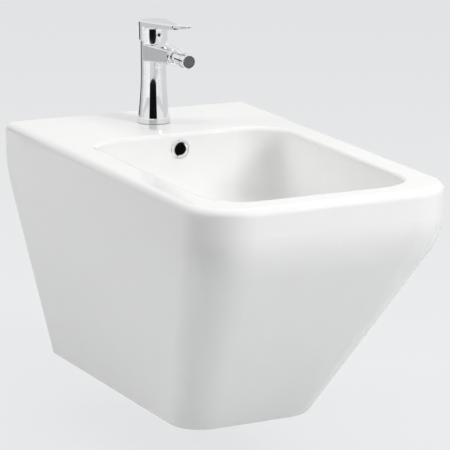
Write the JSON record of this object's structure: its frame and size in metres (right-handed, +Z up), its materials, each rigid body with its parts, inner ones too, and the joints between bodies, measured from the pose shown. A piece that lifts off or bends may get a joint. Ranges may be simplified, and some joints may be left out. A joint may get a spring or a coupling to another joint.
{
  "type": "wall-hung bidet",
  "caption": "Wall-hung white ceramic bidet with a tapered hollow body, deep basin with overflow, single-lever mixer tap with swivel nozzle, push-open waste and bottle trap",
  "frame": {"origin": "midway between the two wall fixing holes, on the wall face", "axes": "+X right as seen from the front, +Y into the wall, +Z up"},
  "size_m": [0.35, 0.622, 0.4625],
  "materials": {
    "glaze": "white gloss glaze",
    "chrome_plate": "polished plate on brass",
    "brass": "turned",
    "zinc_steel": "zinc plated",
    "white_plastic": "moulded",
    "inner_plastic": "moulded",
    "dark_plastic": "moulded",
    "rubber_seal": "matt",
    "disc_ceramic": "lapped"
  },
  "bodies": {
    "base": {"cartridge_base_seals": "rubber_seal", "cartridge_fixed_disc": "disc_ceramic", "cartridge_housing": "inner_plastic", "cartridge_nut": "brass", "ceramic_basin": "glaze", "ceramic_shell": "glaze", "fixing_nuts": "zinc_steel", "fixing_sleeves": "white_plastic", "fixing_washers": "zinc_steel", "nozzle_socket": "chrome_plate", "nozzle_socket_seal": "rubber_seal", "overflow_ring": "chrome_plate", "tap_base_seal": "rubber_seal", "tap_body": "chrome_plate", "tap_clamp_gasket": "rubber_seal", "tap_clamp_plate": "zinc_steel", "tap_fixing_nut": "brass", "tap_fixing_stud": "brass", "trap_body": "white_plastic", "trap_cup": "white_plastic", "trap_cup_seal": "rubber_seal", "trap_inlet_nut": "white_plastic", "trap_inlet_seal": "rubber_seal", "trap_outlet_nut": "white_plastic", "trap_outlet_pipe": "white_plastic", "trap_outlet_seal": "rubber_seal", "waste_body": "chrome_plate", "waste_latch_sleeve": "inner_plastic", "waste_locknut": "brass", "waste_lower_gasket": "rubber_seal", "waste_upper_gasket": "rubber_seal"},
    "carrier": {"cartridge_carrier": "inner_plastic", "cartridge_pivot_pin": "zinc_steel"},
    "lever": {"cartridge_spindle": "brass", "handle": "chrome_plate", "handle_screw": "zinc_steel", "handle_screw_plug": "chrome_plate", "handle_index": "inner_plastic"},
    "disc": {"cartridge_moving_disc": "disc_ceramic"},
    "nozzle_ring": {"nozzle_seat_ring": "inner_plastic"},
    "nozzle": {"nozzle_ball": "chrome_plate", "nozzle_shell": "chrome_plate", "aerator_housing": "chrome_plate", "aerator_washer": "rubber_seal", "aerator_body": "inner_plastic", "aerator_screen": "dark_plastic"},
    "plug": {"waste_plug": "chrome_plate", "waste_plug_seal": "rubber_seal", "waste_plug_stem": "zinc_steel"}
  },
  "joints": [
    {"name": "handle_turn", "type": "hinge", "parent": "base", "child": "carrier", "pos_m": [0, -0.08, 0.18], "axis": [0, 0, 1], "range_deg": [-45, 45]},
    {"name": "handle_lift", "type": "hinge", "parent": "carrier", "child": "lever", "pos_m": [0, -0.08, 0.18], "axis": [-1, 0, 0], "range_deg": [0, 22]},
    {"name": "disc_slide", "type": "slide", "parent": "carrier", "child": "disc", "axis": [0, -1, 0], "range_m": [0, 0.0043]},
    {"name": "nozzle_turn", "type": "hinge", "parent": "base", "child": "nozzle_ring", "pos_m": [0, -0.1477, 0.1747], "axis": [0, -1, 0], "continuous": true},
    {"name": "nozzle_tilt", "type": "hinge", "parent": "nozzle_ring", "child": "nozzle", "pos_m": [0, -0.1477, 0.1747], "axis": [1, 0, 0], "range_deg": [-17, 17]},
    {"name": "plug_travel", "type": "slide", "parent": "base", "child": "plug", "axis": [0, 0, 1], "range_m": [0, 0.008]}
  ],
  "couplings": [
    {"joint": "disc_slide", "follows": "handle_lift", "m_per_rad": 0.010927}
  ]
}
